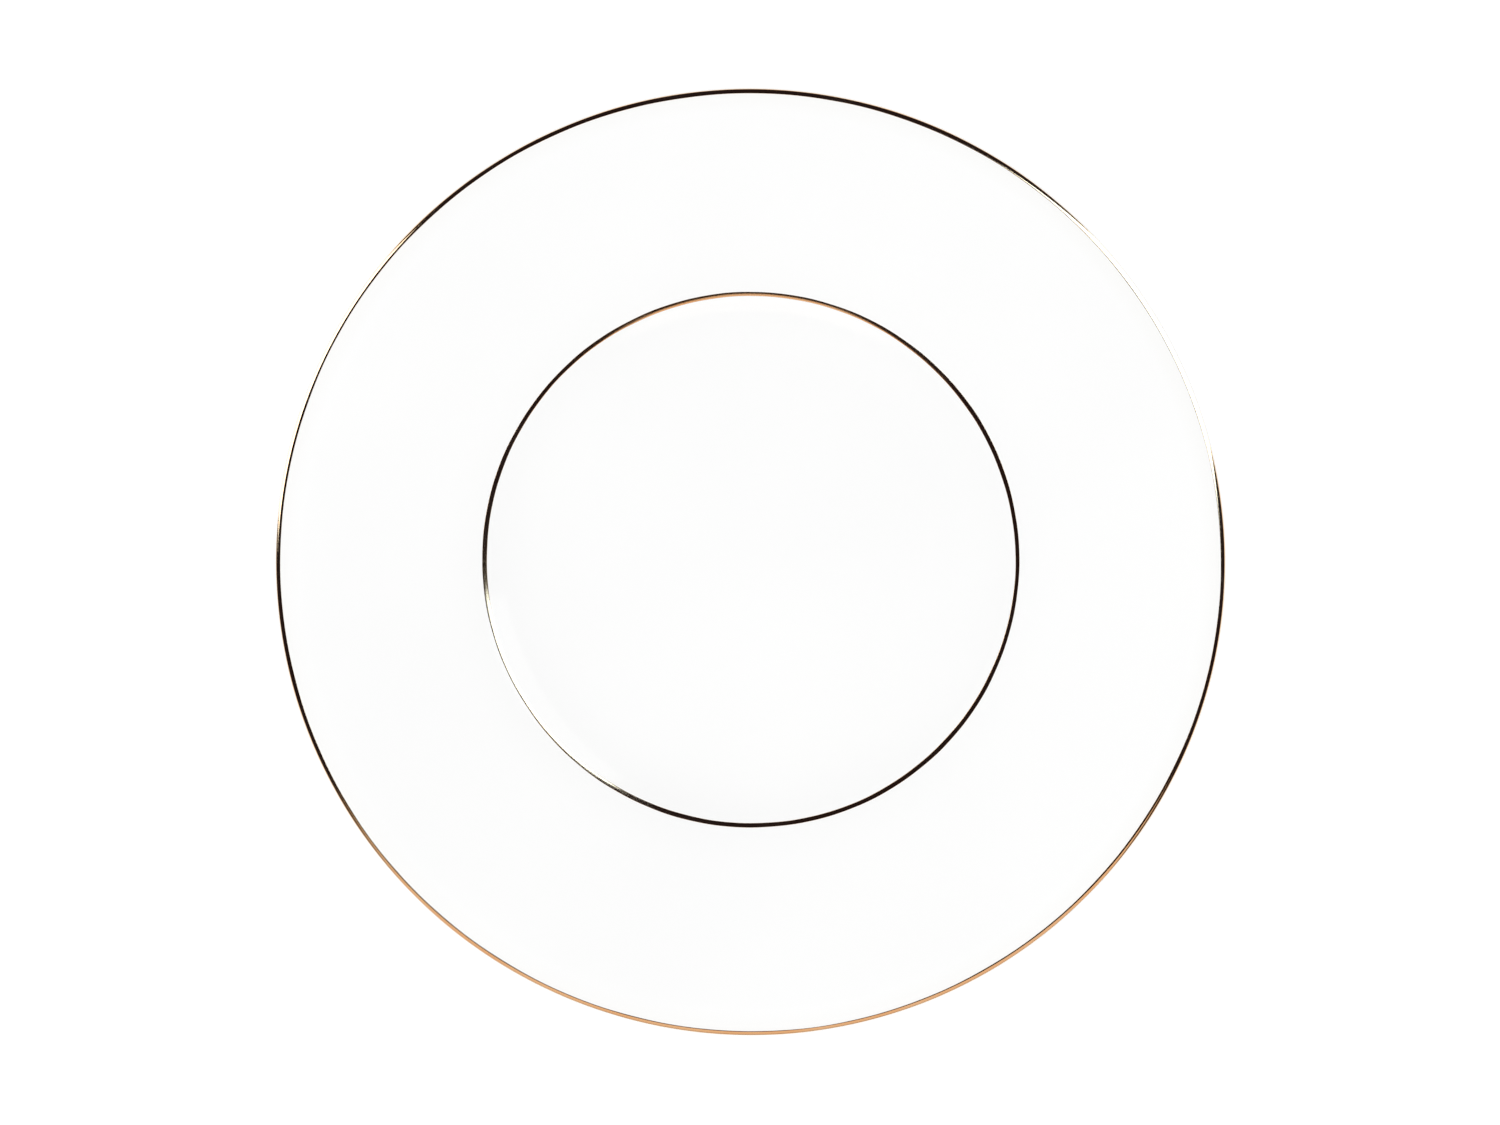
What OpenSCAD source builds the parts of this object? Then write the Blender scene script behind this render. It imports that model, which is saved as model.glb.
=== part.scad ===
// China dinner plate with a gold band along the lip and a gold line at the verge.
// Every piece is a solid of revolution about Z. The fired body is drawn first, as a chain of
// vertices that each carry their outward normal, and the glaze and the gilding are coats laid on
// those vertices, so neighbouring pieces meet face to face.
// Origin: centre of the plane that the foot ring stands on. +Z points up, out of the dish.

/* [Plate] */
// Diameter over the lip
plate_d = 270; // [262:1:290]

/* [Face] */
// Radius of the flat floor of the well
floor_r = 57; // [50:0.5:60]
// Radius where the shoulder is steepest
shoulder_r = 73; // [72:0.5:75]
// Slope of the shoulder at its steepest, as rise over run
shoulder_slope = 0.38; // [0.3:0.01:0.45]
// Radius where the shoulder has eased into the flange
flange_r = 88; // [84:0.5:95]
// Slope of the flange where it starts
flange_slope = 0.21; // [0.12:0.01:0.24]
// How much steeper the flange gets on its way out
flange_gain = 0.03; // [0:0.01:0.06]
// Width of the edge that rolls over to level, inside the crown of the lip
roll_w = 7; // [5:0.5:10]

/* [Wall] */
// Thickness of the body under the well
floor_t = 3; // [2.5:0.1:4]
// Upright thickness of the body over the foot ring's outer root
shoulder_t = 3.3; // [2.8:0.1:4]
// Radius of the lip's rounding above, from its crown outward
lip_over_r = 1.4; // [1.2:0.05:1.7]
// Radius of the lip's rounding below
lip_under_r = 0.65; // [0.5:0.05:0.9]

/* [Foot ring] */
// Radius where the back turns down into the foot ring
foot_root_r = 73.4; // [72:0.1:76]
// Depth of the recess inside the foot ring
recess_h = 2.7; // [2.2:0.1:3.2]
// Width of the flat ground face that the plate stands on
contact_w = 1.6; // [1:0.1:2]
// Lean of the foot ring's outer wall, in degrees
outer_draft = 15; // [10:1:20]
// Lean of the foot ring's inner wall, in degrees
inner_draft = 22; // [15:1:30]
// Height at which the glaze stops on the foot ring
bare_h = 1; // [0.8:0.1:1.2]

/* [Glaze] */
// Thickness of the glaze
glaze_t = 0.25; // [0.2:0.05:0.35]

/* [Gilding] */
// Thickness of the gold
gold_t = 0.12; // [0.08:0.02:0.2]
// Radius of the middle of the verge line
line_r = 76; // [75:0.1:80]
// Width of the verge line
line_w = 1.24; // [0.8:0.02:2]
// How far the rim band reaches round the lip from its crown, in degrees
band_wrap = 50; // [40:10:60]

/* [Hidden] */

china_white = [0.95, 0.94, 0.91];
glaze_white = [0.98, 0.98, 0.97];
gold = [0.83, 0.62, 0.33];

// Steps along the curves of the face and back, and round the foot ring's corners and the lip
curl_steps = 10;
verge_steps = 8;
line_steps = 6;
flange_steps = 4;
roll_steps = 5;
corner_steps = 6;
lip_step_angle = 10;

// Sections round the plate
turn_steps = 180;

// How full the gold's section is, from 1 for half a sine wave down towards 0 for a square one
film_fullness = 0.4;

// Radii of the foot ring's rounded corners
outer_root_round = 2;
inner_root_round = 1.2;
contact_round = 0.5;

// Angle above level at which the lip's upper rounding gives way to the tighter one below
lip_turn = 20;

// The lip's crown, where the face is level, and where the flange starts to roll over to it.
// back_end_r is where the lip's lower rounding meets the back.
lip_gap = (lip_over_r - lip_under_r) * cos(lip_turn);
crown_r = plate_d / 2 - glaze_t - lip_under_r - lip_gap;
back_end_r = crown_r + lip_gap;
roll_r = crown_r - roll_w;

// The body's face as [radius, slope] stations, with the slope changing evenly from one to the next
stations = [
    [0, 0],
    [floor_r, 0],
    [shoulder_r, shoulder_slope],
    [flange_r, flange_slope],
    [roll_r, flange_slope + flange_gain],
    [crown_r, 0],
    [plate_d / 2, 0],
];

// The station at or inside radius r
function station_at(r) = max([for (i = [0:len(stations) - 2]) if (r >= stations[i].x) i]);

// Slope of the face at radius r
function face_slope(r) =
    let (a = stations[station_at(r)], b = stations[station_at(r) + 1])
    a.y + (b.y - a.y) * (r - a.x) / (b.x - a.x);

// Rise of the face from one [radius, slope] to another, with the slope changing evenly between them
function rise(a, b) = (b.x - a.x) * (b.y + a.y) / 2;

// Height of the face at a station, and at any radius r: its rises summed outward from the well
function station_z(i) = i == 0 ? recess_h + floor_t : station_z(i - 1) + rise(stations[i - 1], stations[i]);
function face_z(r) = let (i = station_at(r)) station_z(i) + rise(stations[i], [r, face_slope(r)]);

// Upright thickness of the flange, which thins evenly from the foot ring's root to the lip
lip_drop = lip_over_r + lip_under_r - (lip_over_r - lip_under_r) * sin(lip_turn);
thinning = (shoulder_t - lip_drop) / (back_end_r - foot_root_r);
function wall_drop(r) = shoulder_t - thinning * (r - foot_root_r);

// A vertex is [radius, height, angle of the outward normal]
function face_vertex(r) = [r, face_z(r), 90 + atan(face_slope(r))];
function back_vertex(r) = [r, face_z(r) - wall_drop(r), atan(face_slope(r) + thinning) - 90];

// Vertices round an arc whose normals turn from one angle to another. side is 1 where the body is
// inside the arc and -1 where the arc is a hollow corner, whose centre lies outside the body.
function arc(centre, radius, from, to, steps, side = 1) = [
    for (i = [0:steps])
        let (a = from + (to - from) * i / steps)
        [centre.x + side * radius * cos(a), centre.y + side * radius * sin(a), a]
];

// Points from a to just before b
function span(a, b, steps) = [for (i = [0:steps - 1]) a + (b - a) * i / steps];

function reversed(list) = [for (i = [len(list) - 1:-1:0]) list[i]];

// A vertex moved out along its normal, and a whole chain moved out together
function raised(vertex, t) = [vertex.x + t * cos(vertex.z), vertex.y + t * sin(vertex.z)];
function coat(vertices, t) = [for (v = vertices) raised(v, t)];

// The closed outline of a coat of thickness t on a chain of vertices
function coat_outline(vertices, t) = concat(coat(vertices, 0), reversed(coat(vertices, t)));

// The same for a film laid over a first coat, t thick at its middle and thinning to nothing at its ends
function film_outline(vertices, t, over) =
    let (last = len(vertices) - 1)
    concat(coat(vertices, over),
           [for (i = [last - 1:-1:1]) raised(vertices[i], over + t * film_shape(i / last))]);
function film_shape(u) = pow(sin(180 * u), film_fullness);

// Radii along the flange, closer together where it curves
function flange_radii(inner, outer) = concat(
    span(inner, flange_r, verge_steps),
    span(flange_r, roll_r, flange_steps),
    span(roll_r, outer, roll_steps)
);

// The face, from the axis to just inside the lip, with vertices at both edges of the verge line
line_in_r = line_r - line_w / 2;
line_out_r = line_r + line_w / 2;
line_radii = span(line_in_r, line_out_r, line_steps);
face_radii = concat(0, span(floor_r, shoulder_r, curl_steps), shoulder_r,
                    line_radii, flange_radii(line_out_r, crown_r));
face = [for (r = face_radii) face_vertex(r)];
line_vertices = [for (r = concat(line_radii, line_out_r)) face_vertex(r)];

// The lip, from its crown over to the back, as an easy arc above and a tighter one below
over_centre = [crown_r, face_z(crown_r) - lip_over_r];
under_centre = raised([over_centre.x, over_centre.y, lip_turn], lip_over_r - lip_under_r);
over_steps = (90 - lip_turn) / lip_step_angle;
under_steps = (90 + lip_turn) / lip_step_angle;
lip_over = arc(over_centre, lip_over_r, 90, lip_turn, over_steps);
lip_under = arc(under_centre, lip_under_r, lip_turn, -90, under_steps);
lip = concat([for (i = [0:over_steps - 1]) lip_over[i]], lip_under);
band_vertices = [for (i = [0:band_wrap / lip_step_angle]) lip[i]];

// The back, in from the lip to the foot ring's root
back_radii = reversed(flange_radii(foot_root_r, back_end_r));
back = [for (r = back_radii) if (r > foot_root_r) back_vertex(r)];

// The foot ring's outside: a hollow corner at the root, then a wall down to the glaze's edge
root = back_vertex(foot_root_r);
outer_root = arc(raised(root, outer_root_round), outer_root_round, root.z, -outer_draft, corner_steps, -1);
outer_root_end = outer_root[corner_steps];
function outer_wall_r(z) = outer_root_end.x - (outer_root_end.y - z) * tan(outer_draft);
outer_edge = [outer_wall_r(bare_h), bare_h, -outer_draft];

// The bare foot: two rounded corners with the flat ground face between them. Each corner's centre
// is where its circle touches both its leaning wall and the ground face.
outer_corner_r = outer_wall_r(contact_round) - contact_round / cos(outer_draft);
inner_corner_r = outer_corner_r - contact_w;
function inner_wall_r(z) =
    let (lean = (z - contact_round) * tan(inner_draft))
    inner_corner_r - contact_round / cos(inner_draft) - lean;
inner_edge = [inner_wall_r(bare_h), bare_h, inner_draft - 180];
foot = concat(
    arc([outer_corner_r, contact_round], contact_round, -outer_draft, -90, corner_steps),
    arc([inner_corner_r, contact_round], contact_round, -90, inner_draft - 180, corner_steps)
);

// The foot ring's inside: a wall up to a hollow corner, then the roof of the recess to the axis
inner_root_z = recess_h - inner_root_round;
inner_root_centre_r = inner_wall_r(inner_root_z) - inner_root_round / cos(inner_draft);
inner_root = arc([inner_root_centre_r, inner_root_z], inner_root_round,
                 inner_draft - 180, -90, corner_steps, -1);
recess_centre = [0, recess_h, -90];

main_glazed = concat(face, lip, back, outer_root, [outer_edge]);
base_glazed = concat([inner_edge], inner_root, [recess_centre]);

// Spins an outline about Z
module turned(outline) {
    rotate_extrude($fn = turn_steps) polygon(outline);
}

// The fired body: well, shoulder, flange, lip and foot ring in one piece
module china_body() {
    color(china_white) turned(coat(concat(main_glazed, foot, base_glazed), 0));
}

// The glaze over the face, round the lip and down the back to the foot ring
module main_glaze() {
    color(glaze_white) turned(coat_outline(main_glazed, glaze_t));
}

// The glaze inside the foot ring
module base_glaze() {
    color(glaze_white) turned(coat_outline(base_glazed, glaze_t));
}

// The gold band along the top of the lip
module rim_gold_band() {
    color(gold) turned(film_outline(band_vertices, gold_t, glaze_t));
}

// The gold line where the shoulder turns into the flange
module verge_gold_line() {
    color(gold) turned(film_outline(line_vertices, gold_t, glaze_t));
}

china_body();
main_glaze();
base_glaze();
rim_gold_band();
verge_gold_line();
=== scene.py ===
"""China dinner plate: a white glazed plate with a gold band on its lip and a gold line at the verge.

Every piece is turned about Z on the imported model's own outline. The fired body's surface is a chain
of vertices, each a radius, a height and the angle of the outward normal, and the glaze and the gold
are coats laid on those vertices. Lengths are in metres and angles in radians.
"""

from math import atan, cos, exp, pi, radians, sin, sqrt, tan

import bmesh
import bpy
from mathutils import Matrix, Vector


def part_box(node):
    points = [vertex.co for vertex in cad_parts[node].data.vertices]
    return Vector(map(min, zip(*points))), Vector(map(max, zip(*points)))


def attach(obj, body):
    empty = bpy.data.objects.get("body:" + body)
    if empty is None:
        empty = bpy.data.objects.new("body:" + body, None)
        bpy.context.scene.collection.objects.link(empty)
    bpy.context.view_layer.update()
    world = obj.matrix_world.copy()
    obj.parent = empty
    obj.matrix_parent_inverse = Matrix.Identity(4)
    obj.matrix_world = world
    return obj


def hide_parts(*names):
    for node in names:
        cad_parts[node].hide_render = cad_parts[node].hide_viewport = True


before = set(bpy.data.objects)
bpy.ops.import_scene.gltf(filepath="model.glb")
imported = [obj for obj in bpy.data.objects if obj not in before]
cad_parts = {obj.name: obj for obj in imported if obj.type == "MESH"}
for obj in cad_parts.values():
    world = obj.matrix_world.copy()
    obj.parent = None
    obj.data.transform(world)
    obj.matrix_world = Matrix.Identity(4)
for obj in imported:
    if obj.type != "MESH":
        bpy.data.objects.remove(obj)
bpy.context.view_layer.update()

MM = 0.001

# The plate's size, from the frame
PLATE_R = max(v.co.xy.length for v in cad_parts["main_glaze"].data.vertices)
BARE_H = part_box("main_glaze")[0].z
RECESS_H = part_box("base_glaze")[1].z

# The face
FLOOR_R = 57 * MM
SHOULDER_R = 73 * MM
SHOULDER_SLOPE = 0.38
FLANGE_R = 88 * MM
FLANGE_SLOPE = 0.21
FLANGE_GAIN = 0.03
ROLL_W = 7 * MM

# The wall and the lip
FLOOR_T = 3 * MM
SHOULDER_T = 3.3 * MM
LIP_OVER_R = 1.4 * MM
LIP_UNDER_R = 0.65 * MM
LIP_TURN = radians(20)

# The foot ring
FOOT_ROOT_R = 73.4 * MM
CONTACT_W = 1.6 * MM
OUTER_DRAFT = radians(15)
INNER_DRAFT = radians(22)
OUTER_ROOT_ROUND = 2 * MM
INNER_ROOT_ROUND = 1.2 * MM
CONTACT_ROUND = 0.5 * MM

# The glaze, and how it swells and rounds off where it stops on the foot ring
GLAZE_T = 0.25 * MM
BEAD_GAIN = 0.35
BEAD_AT = 0.45 * MM
BEAD_W = 0.25 * MM
EDGE_ZONE = 0.9 * MM
EDGE_WANDER = 0.1 * MM

# The gilding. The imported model's film stands in for a far thinner one, so the gold drawn here is
# laid thinner on the same glaze. The brush wandered a little along both of its lines.
GOLD_T = 0.03 * MM
GOLD_FULLNESS = 0.25
LINE_R = 76 * MM
LINE_W = 1.24 * MM
BAND_WRAP = radians(50)
BRUSH_WANDER = 0.12 * MM

# The waves round the plate that make an edge wander, and a seed for each edge, so that all differ
WANDER_WAVES = (3, 5, 11, 23, 41)
OUTER_EDGE_SEED = 1.7
INNER_EDGE_SEED = 4.1
BAND_SEEDS = (0.4, 2.9)
LINE_SEEDS = (5.3, 3.6)

# How far the flange sagged unevenly in the kiln, and where round the plate it sagged
KILN_SAG = 0.12 * MM
SAG_PHASE = 0.6

# How finely the pieces are turned: sections round the plate, and steps along each stretch. The
# outer part of the back has one step for BACK_SHARE of the face's.
SECTIONS = 432
FLOOR_STEPS = 8
SHOULDER_STEPS = 24
VERGE_STEPS = 20
FLANGE_STEPS = 22
ROLL_STEPS = 12
LIP_STEPS = 26
BACK_SHARE = 2
ROOT_STEPS = 10
CORNER_STEPS = 8
EDGE_STEPS = 10
FILM_STEPS = 22

# A hidden face keeps one in so many of its points, and more of them along a coat's edge or a line
HIDDEN_SHARE = 3
EDGE_HIDDEN_SHARE = 2

# A point nearer the axis than this is on it
AXIS_R = 1e-6 * MM

LIP_GAP = (LIP_OVER_R - LIP_UNDER_R) * cos(LIP_TURN)
CROWN_R = PLATE_R - GLAZE_T - LIP_UNDER_R - LIP_GAP
BACK_END_R = CROWN_R + LIP_GAP
ROLL_R = CROWN_R - ROLL_W
LIP_DROP = LIP_OVER_R + LIP_UNDER_R - (LIP_OVER_R - LIP_UNDER_R) * sin(LIP_TURN)
THINNING = (SHOULDER_T - LIP_DROP) / (BACK_END_R - FOOT_ROOT_R)

# The face as stations of radius and slope, with the slope changing evenly between them
STATIONS = [
    (0, 0),
    (FLOOR_R, 0),
    (SHOULDER_R, SHOULDER_SLOPE),
    (FLANGE_R, FLANGE_SLOPE),
    (ROLL_R, FLANGE_SLOPE + FLANGE_GAIN),
    (CROWN_R, 0),
    (PLATE_R, 0),
]


# ---- The outline ----

def stretches():
    """The pairs of neighbouring stations."""
    return zip(STATIONS, STATIONS[1:])


def face_slope(r):
    """Slope of the face at radius r."""
    for (r0, slope0), (r1, slope1) in stretches():
        if r <= r1:
            return slope0 + (slope1 - slope0) * (r - r0) / (r1 - r0)
    return 0


def face_z(r):
    """Height of the face at radius r: its slope, summed outward from the well."""
    z = RECESS_H + FLOOR_T
    for (r0, slope0), (r1, _) in stretches():
        end = min(r, r1)
        if end > r0:
            z += (end - r0) * (slope0 + face_slope(end)) / 2
    return z


def face_vertex(r):
    """The face's vertex at radius r: radius, height and the angle of the outward normal."""
    return r, face_z(r), pi / 2 + atan(face_slope(r))


def back_vertex(r):
    """The back's vertex at radius r, under a flange that thins evenly out to the lip."""
    drop = SHOULDER_T - THINNING * (r - FOOT_ROOT_R)
    return r, face_z(r) - drop, atan(face_slope(r) + THINNING) - pi / 2


def raised(vertex, t):
    """The point t outside a vertex, as (radius, height)."""
    r, z, angle = vertex
    return r + t * cos(angle), z + t * sin(angle)


def spaced(a, b, steps):
    """Values from a up to b, without b."""
    return [a + (b - a) * i / steps for i in range(steps)]


def arc(centre, radius, start, end, steps, side=1):
    """Vertices round an arc. side is 1 where the body is inside it and -1 in a hollow corner."""
    angles = spaced(start, end, steps) + [end]
    return [(centre[0] + side * radius * cos(a), centre[1] + side * radius * sin(a), a) for a in angles]


OVER_CENTRE = (CROWN_R, face_z(CROWN_R) - LIP_OVER_R)
UNDER_CENTRE = raised((*OVER_CENTRE, LIP_TURN), LIP_OVER_R - LIP_UNDER_R)


def lip_vertex(angle):
    """The lip's vertex whose normal points at that angle above level."""
    if angle > LIP_TURN:
        return *raised((*OVER_CENTRE, angle), LIP_OVER_R), angle
    return *raised((*UNDER_CENTRE, angle), LIP_UNDER_R), angle


def rim_vertex(s):
    """The vertex at distance s along the body past the lip's crown, or before it if s is negative."""
    over_length = LIP_OVER_R * (pi / 2 - LIP_TURN)
    if s < 0:
        return face_vertex(CROWN_R + s)
    if s < over_length:
        return lip_vertex(pi / 2 - s / LIP_OVER_R)
    return lip_vertex(LIP_TURN - (s - over_length) / LIP_UNDER_R)


def face():
    """The face, from the axis to just before the lip's crown."""
    radii = spaced(0, FLOOR_R, FLOOR_STEPS)
    radii += spaced(FLOOR_R, SHOULDER_R, SHOULDER_STEPS)
    radii += spaced(SHOULDER_R, FLANGE_R, VERGE_STEPS)
    radii += spaced(FLANGE_R, ROLL_R, FLANGE_STEPS)
    radii += spaced(ROLL_R, CROWN_R, ROLL_STEPS)
    return [face_vertex(r) for r in radii]


def lip():
    """The lip, from its crown round to just before the back."""
    return [lip_vertex(a) for a in spaced(pi / 2, -pi / 2, LIP_STEPS)]


def back():
    """The back, in from the lip to just before the foot ring."""
    radii = spaced(BACK_END_R, ROLL_R, ROLL_STEPS // BACK_SHARE)
    radii += spaced(ROLL_R, FLANGE_R, FLANGE_STEPS // BACK_SHARE)
    radii += spaced(FLANGE_R, FOOT_ROOT_R, VERGE_STEPS)
    return [back_vertex(r) for r in radii]


def outer_root():
    """The hollow corner where the back turns down into the foot ring."""
    root = back_vertex(FOOT_ROOT_R)
    centre = raised(root, OUTER_ROOT_ROUND)
    return arc(centre, OUTER_ROOT_ROUND, root[2], -OUTER_DRAFT, ROOT_STEPS, side=-1)


def outer_wall(z):
    """The foot ring's outer wall at height z."""
    top_r, top_z, angle = outer_root()[-1]
    return top_r - (top_z - z) * tan(OUTER_DRAFT), z, angle


OUTER_CORNER_R = outer_wall(CONTACT_ROUND)[0] - CONTACT_ROUND / cos(OUTER_DRAFT)
INNER_CORNER_R = OUTER_CORNER_R - CONTACT_W


def inner_wall(z):
    """The foot ring's inner wall at height z."""
    lean = (z - CONTACT_ROUND) * tan(INNER_DRAFT)
    return INNER_CORNER_R - CONTACT_ROUND / cos(INNER_DRAFT) - lean, z, INNER_DRAFT - pi


def foot():
    """The bare foot: two rounded corners with the ground face between them."""
    outer = (OUTER_CORNER_R, CONTACT_ROUND)
    inner = (INNER_CORNER_R, CONTACT_ROUND)
    return (arc(outer, CONTACT_ROUND, -OUTER_DRAFT, -pi / 2, CORNER_STEPS)
            + arc(inner, CONTACT_ROUND, -pi / 2, INNER_DRAFT - pi, CORNER_STEPS))


def inner_root():
    """The hollow corner where the foot ring's inside turns into the recess."""
    z = RECESS_H - INNER_ROOT_ROUND
    centre = (inner_wall(z)[0] - INNER_ROOT_ROUND / cos(INNER_DRAFT), z)
    return arc(centre, INNER_ROOT_ROUND, INNER_DRAFT - pi, -pi / 2, ROOT_STEPS, side=-1)


def recess():
    """The roof of the recess, in to the axis."""
    return [(r, RECESS_H, -pi / 2) for r in spaced(inner_root()[-1][0], 0, FLOOR_STEPS)[1:] + [0]]


# ---- Handwork: what the kiln and the brush left uneven ----

def wander(azimuth, seed):
    """A smooth value, mostly between -1 and 1, that closes on itself round the plate."""
    return sum(sin(n * azimuth + seed * n) / sqrt(n) for n in WANDER_WAVES) / sqrt(2)


def sag(r, azimuth):
    """How far the flange sank in the kiln, which grows from the foot ring out to the lip."""
    reach = max(0, (r - FOOT_ROOT_R) / (PLATE_R - FOOT_ROOT_R))
    return KILN_SAG * reach ** 2 * (1 - cos(2 * azimuth + SAG_PHASE)) / 2


# ---- Meshes ----

def turned(name, node, column):
    """A piece turned about Z, whose section at each azimuth is column(azimuth).

    That is a closed outline of (radius, height).
    """
    azimuths = [2 * pi * k / SECTIONS for k in range(SECTIONS)]
    columns = [column(azimuth) for azimuth in azimuths]
    vertices = []
    rings = []
    for i, (first_r, first_z) in enumerate(columns[0]):
        if first_r < AXIS_R:
            rings.append([len(vertices)] * SECTIONS)
            vertices.append((0, 0, first_z))
            continue
        rings.append(range(len(vertices), len(vertices) + SECTIONS))
        for azimuth, outline in zip(azimuths, columns):
            r, z = outline[i]
            vertices.append((r * cos(azimuth), r * sin(azimuth), z - sag(r, azimuth)))
    faces = []
    for ring, beyond in zip(rings, rings[1:] + rings[:1]):
        for k in range(SECTIONS):
            following = (k + 1) % SECTIONS
            corners = (ring[k], ring[following], beyond[following], beyond[k])
            corners = tuple(dict.fromkeys(corners))
            if len(corners) > 2:
                faces.append(corners)
    mesh = bpy.data.meshes.new(name)
    mesh.from_pydata(vertices, [], faces)
    face_outward(mesh)
    mesh.shade_smooth()
    piece = bpy.data.objects.new(name, mesh)
    bpy.context.scene.collection.objects.link(piece)
    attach(piece, "root")
    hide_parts(node)
    return piece


def face_outward(mesh):
    """Turns every face of a closed mesh outward."""
    work = bmesh.new()
    work.from_mesh(mesh)
    bmesh.ops.recalc_face_normals(work, faces=work.faces)
    work.to_mesh(mesh)
    work.free()


def every(step, points):
    """Every so many of the points, with the last one."""
    return points[:-1:step] + points[-1:]


def glaze_thickness(distance):
    """How thick the glaze is at that distance from its edge on the foot ring."""
    rounding = sqrt(1 - (1 - min(distance / GLAZE_T, 1)) ** 2)
    return GLAZE_T * rounding * (1 + BEAD_GAIN * exp(-((distance - BEAD_AT) / BEAD_W) ** 2))


def glaze_edge(wall, lean, azimuth, seed):
    """The glaze's end on a wall of the foot ring: its points on the body, and those outside."""
    edge_z = BARE_H + EDGE_WANDER * wander(azimuth, seed)
    distances = [EDGE_ZONE * (1 - i / EDGE_STEPS) ** 2 for i in range(EDGE_STEPS + 1)]
    vertices = [wall(edge_z + distance * cos(lean)) for distance in distances]
    outside = [raised(v, glaze_thickness(d)) for v, d in zip(vertices, distances)]
    return [raised(v, 0) for v in every(EDGE_HIDDEN_SHARE, vertices)], outside[:-1]


def make_main_glaze():
    chain = face() + lip() + back() + outer_root()
    hidden = every(HIDDEN_SHARE, [raised(v, 0) for v in chain])
    seen = [raised(v, GLAZE_T) for v in chain]

    def column(azimuth):
        edge_hidden, edge_seen = glaze_edge(outer_wall, OUTER_DRAFT, azimuth, OUTER_EDGE_SEED)
        return hidden + edge_hidden + edge_seen[::-1] + seen[::-1]

    return turned("glaze_main", "main_glaze", column)


def make_base_glaze():
    chain = inner_root() + recess()
    hidden = every(HIDDEN_SHARE, [raised(v, 0) for v in chain])
    seen = [raised(v, GLAZE_T) for v in chain]

    def column(azimuth):
        edge_hidden, edge_seen = glaze_edge(inner_wall, INNER_DRAFT, azimuth, INNER_EDGE_SEED)
        return hidden[::-1] + edge_hidden + edge_seen[::-1] + seen

    return turned("glaze_under_base", "base_glaze", column)


def make_body():
    above = every(HIDDEN_SHARE, face() + lip() + back() + outer_root())
    below = every(HIDDEN_SHARE, inner_root() + recess())
    outline = [raised(v, 0) for v in above + foot() + below]
    return turned("china_biscuit", "china_body", lambda azimuth: outline)


def film(vertices):
    """The section of a film of gold: over the glaze, thinning to nothing at both of its edges."""
    last = len(vertices) - 1
    under = [raised(v, GLAZE_T) for v in vertices]
    over = [raised(vertices[i], GLAZE_T + GOLD_T * sin(pi * i / last) ** GOLD_FULLNESS)
            for i in range(last - 1, 0, -1)]
    return every(EDGE_HIDDEN_SHARE, under) + over


def brushed(start, end, azimuth, seeds):
    """Places across a gold line, with both of its edges wandering as the brush did."""
    start += BRUSH_WANDER * wander(azimuth, seeds[0])
    end += BRUSH_WANDER * wander(azimuth, seeds[1])
    return spaced(start, end, FILM_STEPS) + [end]


def make_rim_band():
    def column(azimuth):
        places = brushed(0, LIP_OVER_R * BAND_WRAP, azimuth, BAND_SEEDS)
        return film([rim_vertex(s) for s in places])

    return turned("gold_rim_band", "rim_gold_band", column)


def make_verge_line():
    def column(azimuth):
        radii = brushed(LINE_R - LINE_W / 2, LINE_R + LINE_W / 2, azimuth, LINE_SEEDS)
        return film([face_vertex(r) for r in radii])

    return turned("gold_verge_line", "verge_gold_line", column)


# ---- Materials ----

# Colours are linear RGB. A scale is in waves to the metre, and a pair of scales is in waves to the
# radian round the plate and to the metre across it. Most of a noise's values lie in SPREAD, and
# CONTRAST is a narrower range that makes it bolder.
SPREAD = (0.3, 0.7)
CONTRAST = (0.35, 0.65)

# The glaze: two close whites in clouds, and a painted shade near the lip, a darker, warmer white that
# comes in over the roll to the lip
GLAZE_WHITE = (0.930, 0.932, 0.930)
GLAZE_BRIGHT = (0.941, 0.943, 0.940)
GLAZE_CLOUD_SCALE = 14
GLAZE_LIP_SHADE = (0.900, 0.894, 0.878)
LIP_SHADE_R = (PLATE_R - ROLL_W, PLATE_R - LIP_OVER_R)
LIP_SHADE_SHARE = 0.6
GLAZE_IOR = 1.5

# Iron specks, one in each cell whose random value is past SPECK_CHOICE. SPECK_EDGE is in cells.
SPECK_CELLS = 70.0
SPECK_CHOICE = (0.90, 0.91)
SPECK_EDGE = (0.004, 0.010)
SPECK_BROWN = (0.52, 0.46, 0.38)
SPECK_SHARE = 0.5

# Knife marks: the ways they run, their scales along, across and up, and where the plate is worn
MARK_TURNS = (0.4, 1.3, 2.2, 2.9)
MARK_SCALES = (30, 1800, 30)
MARK_EDGE = (0.68, 0.72)
MARK_ROUGHNESS = 0.12
WORN_R = (0.8 * FLOOR_R, SHOULDER_R)
WORN_SCALE = 25
WORN_EDGE = (0.45, 0.6)

# How rough the glaze is, and its relief
HAZE_SCALE = 45
HAZE_ROUGHNESS = (0.05, 0.085)
RIPPLE_SCALE = 110
RIPPLE_DEPTH = 0.014 * MM
PEEL_SCALE = 700
PEEL_DEPTH = 0.0012 * MM
PIT_DEPTH = 0.01 * MM

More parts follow.
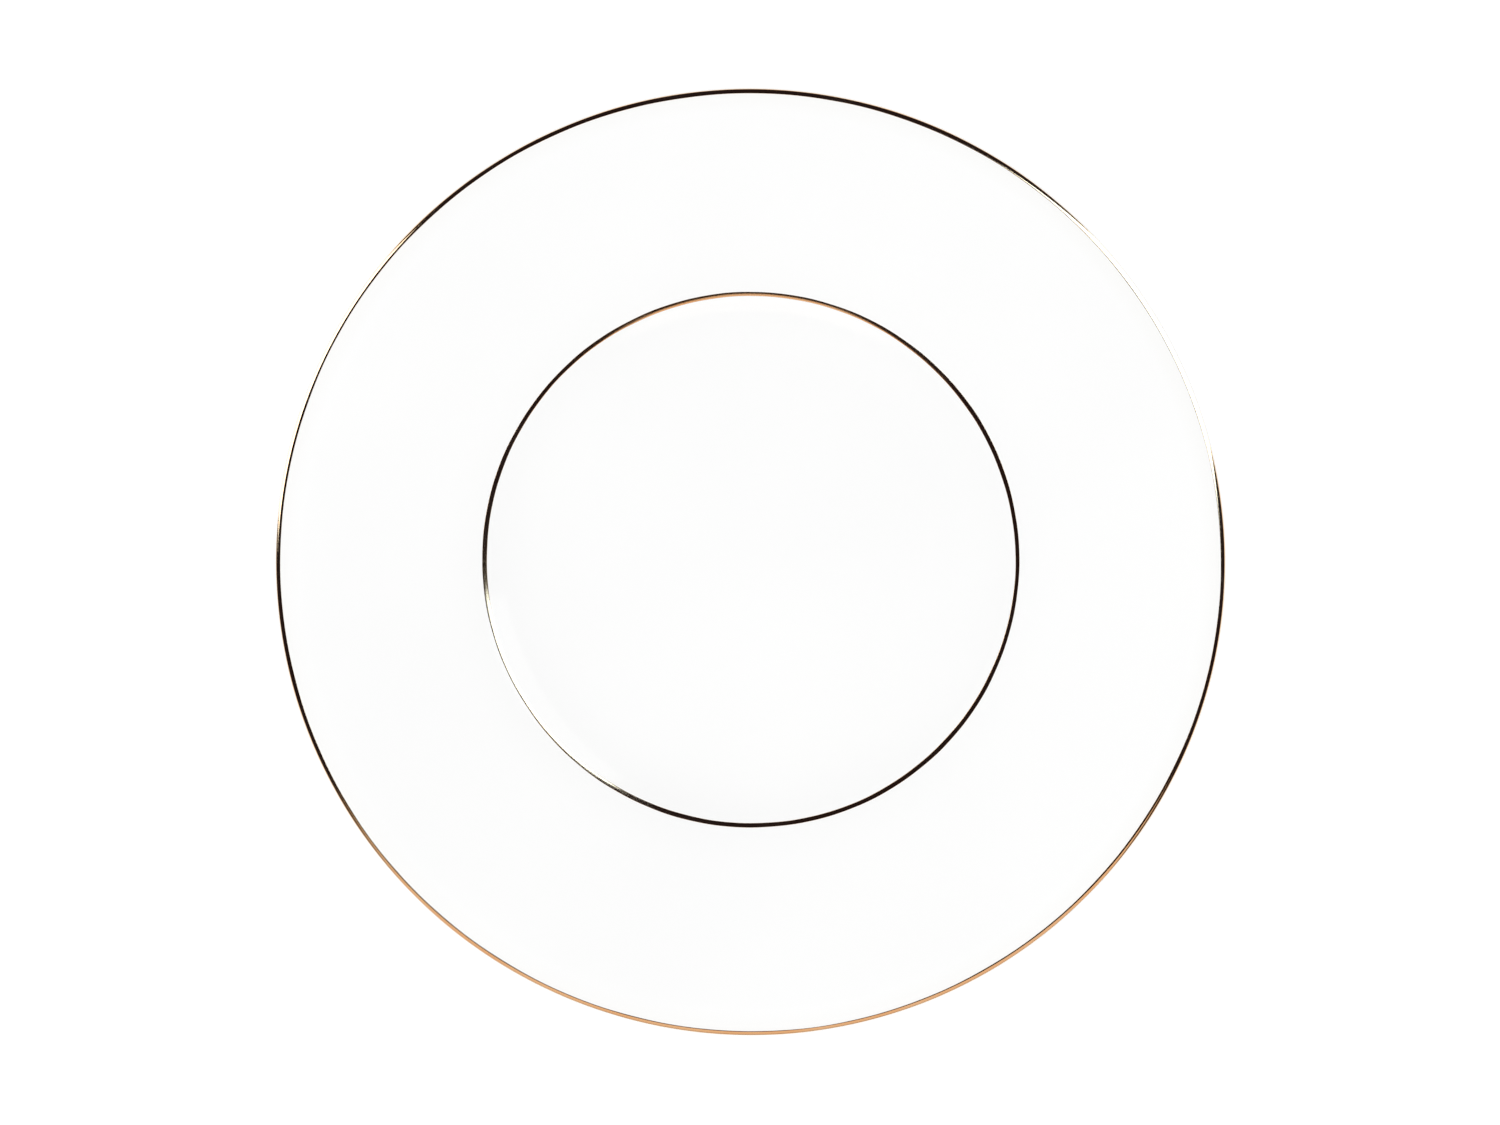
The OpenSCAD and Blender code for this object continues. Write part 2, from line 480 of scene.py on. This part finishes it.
# The gold: its clouds and its brush strokes, with their colours, roughness and relief
GOLD_DEEP = (0.93, 0.60, 0.33)
GOLD_PALE = (0.96, 0.68, 0.42)
GOLD_CLOUD_SCALE = 60
WORN_GOLD_EDGE = (0.5, 0.75)
WORN_GOLD_ROUGHNESS = (0.0, 0.06)
STROKE_SCALES = (2.5, 5200)
STROKE_COPPER = (0.86, 0.50, 0.24)
STROKE_EDGE = (0.60, 0.75)
STROKE_SHARE = 0.35
STROKE_ROUGHNESS = (0.06, 0.12)
STROKE_DEPTH = 0.0012 * MM
GOLD_GRAIN_SCALE = 2500
GOLD_GRAIN_DEPTH = 0.0008 * MM

# The bare foot: its china, and the height over which the grinding and the dirt end
BISCUIT_CREAM = (0.80, 0.775, 0.72)
BISCUIT_PALE = (0.86, 0.84, 0.79)
BISCUIT_SCALE = 300
BISCUIT_GRAIN_SCALE = 3500
BISCUIT_GRAIN_DEPTH = 0.012 * MM
GROUND_EDGE = (0.02 * MM, 0.25 * MM)
RING_SCALES = (4.0, 9000)
RING_ROUGHNESS = (0.5, 0.72)
RING_DEPTH = 0.01 * MM
SHELF_GREY = (0.47, 0.45, 0.42)
SHELF_SCALE = 90
SHELF_EDGE = (0.42, 0.68)
SHELF_SHARE = (0.1, 0.75)


def node(tree, kind, inputs, **settings):
    """A new node, with each input set to a value or linked to another node's output."""
    made = tree.nodes.new("ShaderNode" + kind)
    for name, value in settings.items():
        setattr(made, name, value)
    for name, value in inputs.items():
        if isinstance(value, bpy.types.NodeSocket):
            tree.links.new(value, made.inputs[name])
        else:
            made.inputs[name].default_value = value
    return made


def noise(tree, place, scale=1.0, detail=2.0):
    """Noise from 0 to 1."""
    return node(tree, "TexNoise", {"Vector": place, "Scale": scale, "Detail": detail}).outputs[0]


def ramp(tree, value, edge, levels=(0.0, 1.0)):
    """value, from the start to the end of edge, becomes the first to the second of levels."""
    ends = {"Value": value, "From Min": edge[0], "From Max": edge[1],
            "To Min": levels[0], "To Max": levels[1]}
    return node(tree, "MapRange", ends).outputs[0]


def maths(tree, operation, a, b=0.0):
    return node(tree, "Math", {0: a, 1: b}, operation=operation).outputs[0]


def blend(tree, factor, first, second):
    """A colour from first to second."""
    mixed = node(tree, "Mix", {"Factor": factor}, data_type="RGBA")
    for socket, colour in zip([s for s in mixed.inputs if s.type == "RGBA"], (first, second)):
        if isinstance(colour, bpy.types.NodeSocket):
            tree.links.new(colour, socket)
        else:
            socket.default_value = (*colour, 1)
    return next(s for s in mixed.outputs if s.type == "RGBA")


def bumped(tree, height, depth, under=None):
    """A normal from a height of 0 to 1 that stands for 0 to depth, over another bump's normal."""
    inputs = {"Height": height, "Distance": depth, "Strength": 1.0}
    if under:
        inputs["Normal"] = under
    return node(tree, "Bump", inputs).outputs[0]


def new_material(name):
    """A material, its node tree, its main shader and its place on the plate in metres."""
    material = bpy.data.materials.new(name)
    material.use_nodes = True
    tree = material.node_tree
    shader = tree.nodes["Principled BSDF"]
    place = node(tree, "TexCoord", {}).outputs["Object"]
    return material, tree, shader, place


def radius_of(tree, place):
    """Distance from the plate's axis."""
    flat = node(tree, "VectorMath", {0: place, 1: (1, 1, 0)}, operation="MULTIPLY").outputs[0]
    return node(tree, "VectorMath", {0: flat}, operation="LENGTH").outputs["Value"]


def along_the_turn(tree, place, round_scale, across_scale):
    """Coordinates that change slowly round the plate and fast across it, for strokes along the turn."""
    parts = node(tree, "SeparateXYZ", {0: place}).outputs
    r = radius_of(tree, place)
    x = maths(tree, "MULTIPLY", maths(tree, "DIVIDE", parts[0], r), round_scale)
    y = maths(tree, "MULTIPLY", maths(tree, "DIVIDE", parts[1], r), round_scale)
    across = maths(tree, "MULTIPLY", maths(tree, "SUBTRACT", r, parts[2]), across_scale)
    return node(tree, "CombineXYZ", {0: x, 1: y, 2: across}).outputs[0]


def specks(tree, place):
    """1 in an iron speck and 0 between."""
    cell = node(tree, "TexVoronoi", {"Vector": place, "Scale": SPECK_CELLS})
    pick = node(tree, "SeparateColor", {0: cell.outputs["Color"]}).outputs[0]
    chosen = ramp(tree, pick, SPECK_CHOICE)
    near = ramp(tree, cell.outputs["Distance"], SPECK_EDGE, (1.0, 0.0))
    return maths(tree, "MULTIPLY", chosen, near)


def hairlines(tree, place, turn):
    """Fine straight knife marks that run one way: 1 on a mark and 0 between."""
    inputs = {"Vector": place, "Rotation": (0, 0, turn), "Scale": MARK_SCALES}
    turned_place = node(tree, "Mapping", inputs).outputs[0]
    return ramp(tree, noise(tree, turned_place, detail=1.0), MARK_EDGE)


def knife_marks(tree, place):
    """Knife marks every way, in worn patches of the well."""
    marks = hairlines(tree, place, MARK_TURNS[0])
    for turn in MARK_TURNS[1:]:
        marks = maths(tree, "MAXIMUM", marks, hairlines(tree, place, turn))
    used = ramp(tree, radius_of(tree, place), WORN_R, (1.0, 0.0))
    patchy = ramp(tree, noise(tree, place, WORN_SCALE), WORN_EDGE)
    return maths(tree, "MULTIPLY", marks, maths(tree, "MULTIPLY", used, patchy))


def make_glaze_material():
    """Bright white glaze: faint ripple and peel, iron specks in pinholes, and knife marks.

    Near the lip it has a painted shade: the white turns darker and warmer over the roll to the lip.
    """
    material, tree, shader, place = new_material("white_glaze")
    cloud = ramp(tree, noise(tree, place, GLAZE_CLOUD_SCALE), CONTRAST)
    white = blend(tree, cloud, GLAZE_WHITE, GLAZE_BRIGHT)
    # Painted shade: the white turns darker and warmer over the roll to the lip
    lip_shade = ramp(tree, radius_of(tree, place), LIP_SHADE_R, (0.0, LIP_SHADE_SHARE))
    white = blend(tree, lip_shade, white, GLAZE_LIP_SHADE)
    speck = specks(tree, place)
    colour = blend(tree, maths(tree, "MULTIPLY", speck, SPECK_SHARE), white, SPECK_BROWN)
    tree.links.new(colour, shader.inputs["Base Color"])

    marks = knife_marks(tree, place)
    haze = ramp(tree, noise(tree, place, HAZE_SCALE, detail=3.0), SPREAD, HAZE_ROUGHNESS)
    rough = maths(tree, "ADD", haze, maths(tree, "MULTIPLY", marks, MARK_ROUGHNESS))
    tree.links.new(rough, shader.inputs["Roughness"])

    ripple = bumped(tree, noise(tree, place, RIPPLE_SCALE), RIPPLE_DEPTH)
    peel = bumped(tree, noise(tree, place, PEEL_SCALE), PEEL_DEPTH, ripple)
    pits = bumped(tree, maths(tree, "SUBTRACT", 1.0, speck), PIT_DEPTH, peel)
    tree.links.new(pits, shader.inputs["Normal"])
    shader.inputs["IOR"].default_value = GLAZE_IOR
    return material


def make_gold_material():
    """Burnished gold: strokes of the banding brush along the turn, pale clouds and a fine grain."""
    material, tree, shader, place = new_material("burnished_gold")
    strokes = noise(tree, along_the_turn(tree, place, *STROKE_SCALES), detail=3.0)
    cloud = noise(tree, place, GOLD_CLOUD_SCALE, detail=3.0)
    colour = blend(tree, ramp(tree, cloud, CONTRAST), GOLD_DEEP, GOLD_PALE)
    streaked = ramp(tree, strokes, STROKE_EDGE, (0.0, STROKE_SHARE))
    colour = blend(tree, streaked, colour, STROKE_COPPER)
    tree.links.new(colour, shader.inputs["Base Color"])

    brushed_rough = ramp(tree, strokes, SPREAD, STROKE_ROUGHNESS)
    worn_rough = ramp(tree, cloud, WORN_GOLD_EDGE, WORN_GOLD_ROUGHNESS)
    tree.links.new(maths(tree, "ADD", brushed_rough, worn_rough), shader.inputs["Roughness"])

    stroked = bumped(tree, strokes, STROKE_DEPTH)
    grained = bumped(tree, noise(tree, place, GOLD_GRAIN_SCALE), GOLD_GRAIN_DEPTH, stroked)
    tree.links.new(grained, shader.inputs["Normal"])
    shader.inputs["Metallic"].default_value = 1.0
    return material


def make_biscuit_material():
    """Bare fired china on the foot: fine grain, rings from the grinding pad, and grey from shelves."""
    material, tree, shader, place = new_material("bare_biscuit")
    height = node(tree, "SeparateXYZ", {0: place}).outputs[2]
    ground = ramp(tree, height, GROUND_EDGE, (1.0, 0.0))
    rings = noise(tree, along_the_turn(tree, place, *RING_SCALES))
    grime = ramp(tree, noise(tree, place, SHELF_SCALE, detail=4.0), SHELF_EDGE, SHELF_SHARE)
    dirt = maths(tree, "MULTIPLY", ground, grime)
    clean = blend(tree, noise(tree, place, BISCUIT_SCALE), BISCUIT_CREAM, BISCUIT_PALE)
    tree.links.new(blend(tree, dirt, clean, SHELF_GREY), shader.inputs["Base Color"])
    tree.links.new(ramp(tree, rings, SPREAD, RING_ROUGHNESS), shader.inputs["Roughness"])

    grain = bumped(tree, noise(tree, place, BISCUIT_GRAIN_SCALE), BISCUIT_GRAIN_DEPTH)
    ringed = bumped(tree, maths(tree, "MULTIPLY", rings, ground), RING_DEPTH, grain)
    tree.links.new(ringed, shader.inputs["Normal"])
    return material


# ---- The studio ----

# The camera, and the point it looks at. The lens is in millimetres.
AIM = Vector((0, 0.26 * MM, OVER_CENTRE[1]))
CAMERA_DISTANCE = 3.0
CAMERA_AZIMUTH = radians(74)
CAMERA_TILT = radians(4.7)
LENS = 253.75

# The floor, its glow from the plate's edge out to where it has faded, and the zone under the lip in
# which the glow begins. The glow is painted light round the plate that hides the plate's shadow, and
# where it is missing under the plate the floor has a painted shadow. Matt surfaces get only FLOOR_SPILL
# of the glow.
FLOOR_SIZE = 12.0
FLOOR_ALBEDO = 0.6
FLOOR_GLOW_NEAR = 0.62
FLOOR_GLOW_FAR = 0.20
FLOOR_FADE_R = 0.60
FLOOR_PAINTED_SHADOW_EDGE = (0.80 * PLATE_R, 0.985 * PLATE_R)
FLOOR_SPILL = 0.15

# The even white light on matt surfaces, and the room that polished ones see: its tint, and how
# bright it is against the sine of the angle above level
AMBIENT = 1.055
ROOM_LEVELS = ((0.0, 0.30), (0.04, 0.06), (0.12, 0.020), (1.0, 0.013))
ROOM_TINT = (1.0, 0.70, 0.98)

# The key light. A level surface gets KEY_SHARE of what an even white sky would give it.
KEY_SHARE = 0.06
KEY_AZIMUTH = radians(228)
KEY_ELEVATION = radians(48)
KEY_DISTANCE = 1.4
KEY_SIZE = 1.0

# The panels: azimuth, (distance, height) of the bottom edge and of the top one, and width
SOFTBOX = (radians(27), (0.40, 0.02), (0.182, 0.430), 0.21)
CARD = (radians(270), (0.40, 0.07), (0.253, 0.389), 0.80)
WINDOW = (radians(160), (0.60, 0.02), (0.46, 0.36), 0.36)
FILL = (radians(135), (0.60, 0.12), (0.43, 0.45), 0.90)

# The panels' light: colour, and how bright it is against the even white
SOFTBOX_ON_GOLD = ((0.55, 0.76, 1.0), 4.6)
SOFTBOX_ON_GLAZE = ((1.0, 0.99, 0.97), 0.8)
PEACH = ((1.0, 0.81, 0.68), 0.79)
DAYLIGHT = ((0.80, 0.90, 1.0), 3.0)
WARM_WHITE = ((1.0, 0.93, 0.85), 1.0)


def make_camera():
    """The camera, almost straight above, with the top of its picture towards +Y."""
    lens = bpy.data.cameras.new("camera")
    lens.lens = LENS
    camera = bpy.data.objects.new("camera", lens)
    bpy.context.scene.collection.objects.link(camera)
    lean = sin(CAMERA_TILT)
    back_axis = Vector((lean * cos(CAMERA_AZIMUTH), lean * sin(CAMERA_AZIMUTH), cos(CAMERA_TILT)))
    right = Vector((0, 1, 0)).cross(back_axis).normalized()
    up = back_axis.cross(right)
    axes = Matrix((right, up, back_axis)).transposed().to_4x4()
    camera.matrix_world = Matrix.Translation(AIM + back_axis * CAMERA_DISTANCE) @ axes
    bpy.context.scene.camera = camera


def make_floor():
    """A pale floor with painted light: it glows round the plate like a light table and fades outward,
    and the glow stops under the plate, which leaves a painted shadow there.

    Little of the glow lights matt surfaces, so the plate keeps the shade on its underside.
    """
    mesh = bpy.data.meshes.new("floor")
    half = FLOOR_SIZE / 2
    corners = [(-half, -half, 0), (half, -half, 0), (half, half, 0), (-half, half, 0)]
    mesh.from_pydata(corners, [], [(0, 1, 2, 3)])
    floor = bpy.data.objects.new("floor", mesh)
    bpy.context.scene.collection.objects.link(floor)
    material = bpy.data.materials.new("pale_floor")
    material.use_nodes = True
    tree = material.node_tree
    tree.nodes.clear()
    place = node(tree, "TexCoord", {}).outputs["Object"]
    r = radius_of(tree, place)
    # Painted light: the glow is brightest round the plate, where it hides the plate's shadow, and fades
    # outward
    fading = ramp(tree, r, (PLATE_R, FLOOR_FADE_R), (FLOOR_GLOW_NEAR, FLOOR_GLOW_FAR))
    # Painted shadow: the glow stops under the plate, so the floor is darker there
    outside_painted_shadow = ramp(tree, r, FLOOR_PAINTED_SHADOW_EDGE)
    ray = node(tree, "LightPath", {}).outputs
    lighting = ramp(tree, ray["Is Diffuse Ray"], (0.0, 1.0), (1.0, FLOOR_SPILL))
    glow = maths(tree, "MULTIPLY", maths(tree, "MULTIPLY", fading, outside_painted_shadow), lighting)
    matt = node(tree, "BsdfDiffuse", {"Color": (FLOOR_ALBEDO, FLOOR_ALBEDO, FLOOR_ALBEDO, 1)})
    light = node(tree, "Emission", {"Strength": glow})
    both = node(tree, "AddShader", {0: matt.outputs[0], 1: light.outputs[0]})
    node(tree, "OutputMaterial", {"Surface": both.outputs[0]})
    mesh.materials.append(material)


def make_world():
    """Even white light for matt surfaces, and for polished ones a room pale low down and dark above."""
    world = bpy.data.worlds.new("studio")
    bpy.context.scene.world = world
    world.use_nodes = True
    tree = world.node_tree
    tree.nodes.clear()
    ray = node(tree, "LightPath", {}).outputs
    direction = node(tree, "TexCoord", {}).outputs["Generated"]
    height = node(tree, "SeparateXYZ", {0: direction}).outputs[2]
    room = node(tree, "ValToRGB", {0: height})
    elements = room.color_ramp.elements
    while len(elements) < len(ROOM_LEVELS):
        elements.new(0.5)  # anywhere, as the next lines place it
    for element, (position, level) in zip(elements, ROOM_LEVELS):
        element.position = position
        element.color = (*(level * share for share in ROOM_TINT), 1)
    far_floor = FLOOR_ALBEDO * AMBIENT + FLOOR_GLOW_FAR
    even = node(tree, "Background", {"Color": (1, 1, 1, 1), "Strength": AMBIENT})
    seen = node(tree, "Background", {"Color": (1, 1, 1, 1), "Strength": far_floor})
    polished = node(tree, "Background", {"Color": room.outputs[0], "Strength": 1.0})
    lit = node(tree, "MixShader", {0: ray["Is Glossy Ray"], 1: even.outputs[0], 2: polished.outputs[0]})
    whole = node(tree, "MixShader", {0: ray["Is Camera Ray"], 1: lit.outputs[0], 2: seen.outputs[0]})
    node(tree, "OutputWorld", {"Surface": whole.outputs[0]})
    world.cycles.sampling_method = "NONE"


def around(azimuth, distance, height):
    """The point at that azimuth and distance from the plate's axis, and that height."""
    return Vector((distance * cos(azimuth), distance * sin(azimuth), height))


def make_panel(name, azimuth, bottom, top, width, colour, radiance, lit=None):
    """A soft panel that only polished surfaces see, of all pieces or of those in the collection lit.

    bottom and top are (distance, height) of its edges.
    """
    low = around(azimuth, *bottom)
    high = around(azimuth, *top)
    up = (high - low).normalized()
    side = Vector((-sin(azimuth), cos(azimuth), 0))
    axes = Matrix((side, up, side.cross(up))).transposed().to_4x4()
    light = bpy.data.lights.new(name, "AREA")
    light.shape = "RECTANGLE"
    light.size = width
    light.size_y = (high - low).length
    light.color = colour
    light.energy = radiance * pi * light.size * light.size_y
    panel = bpy.data.objects.new(name, light)
    bpy.context.scene.collection.objects.link(panel)
    panel.matrix_world = Matrix.Translation((low + high) / 2) @ axes
    panel.visible_camera = False
    panel.visible_diffuse = False
    panel.light_linking.receiver_collection = lit


def make_key():
    """A large soft light that only matt surfaces see, for a little more light from one side."""
    direction = around(KEY_AZIMUTH, cos(KEY_ELEVATION), sin(KEY_ELEVATION))
    light = bpy.data.lights.new("key", "AREA")
    light.shape = "DISK"
    light.size = KEY_SIZE
    light.energy = KEY_SHARE * (pi * KEY_DISTANCE) ** 2 / sin(KEY_ELEVATION)
    key = bpy.data.objects.new("key", light)
    bpy.context.scene.collection.objects.link(key)
    key.location = AIM + direction * KEY_DISTANCE
    key.rotation_mode = "QUATERNION"
    key.rotation_quaternion = direction.to_track_quat("Z", "Y")
    key.visible_camera = False
    key.visible_glossy = False


def collected(name, pieces):
    """A collection of the pieces, for a panel to be seen by."""
    collection = bpy.data.collections.new(name)
    for piece in pieces:
        collection.objects.link(piece)
    return collection


def make_studio(glazed, gilded):
    """The studio. The softbox is dimmer for the glaze, as if flagged off it, and cooler for the gold.

    The fill keeps the verge line gold from the side. The first piece of gilded is the rim band,
    which doesn't see it.
    """
    bpy.context.scene.view_settings.view_transform = "Standard"
    make_floor()
    make_world()
    make_key()
    make_panel("softbox_on_gold", *SOFTBOX, *SOFTBOX_ON_GOLD, collected("gilded", gilded))
    make_panel("softbox_on_glaze", *SOFTBOX, *SOFTBOX_ON_GLAZE, collected("glazed", glazed))
    make_panel("card", *CARD, *PEACH)
    make_panel("window", *WINDOW, *DAYLIGHT)
    make_panel("fill_on_verge", *FILL, *WARM_WHITE, collected("verge", gilded[1:]))


# ---- The plate ----

def dress(piece, material):
    """The piece, with its material."""
    piece.data.materials.append(material)
    return piece


make_camera()
glaze = make_glaze_material()
gold = make_gold_material()
dress(make_body(), make_biscuit_material())
glazed = [dress(make_main_glaze(), glaze), dress(make_base_glaze(), glaze)]
gilded = [dress(make_rim_band(), gold), dress(make_verge_line(), gold)]
make_studio(glazed, gilded)
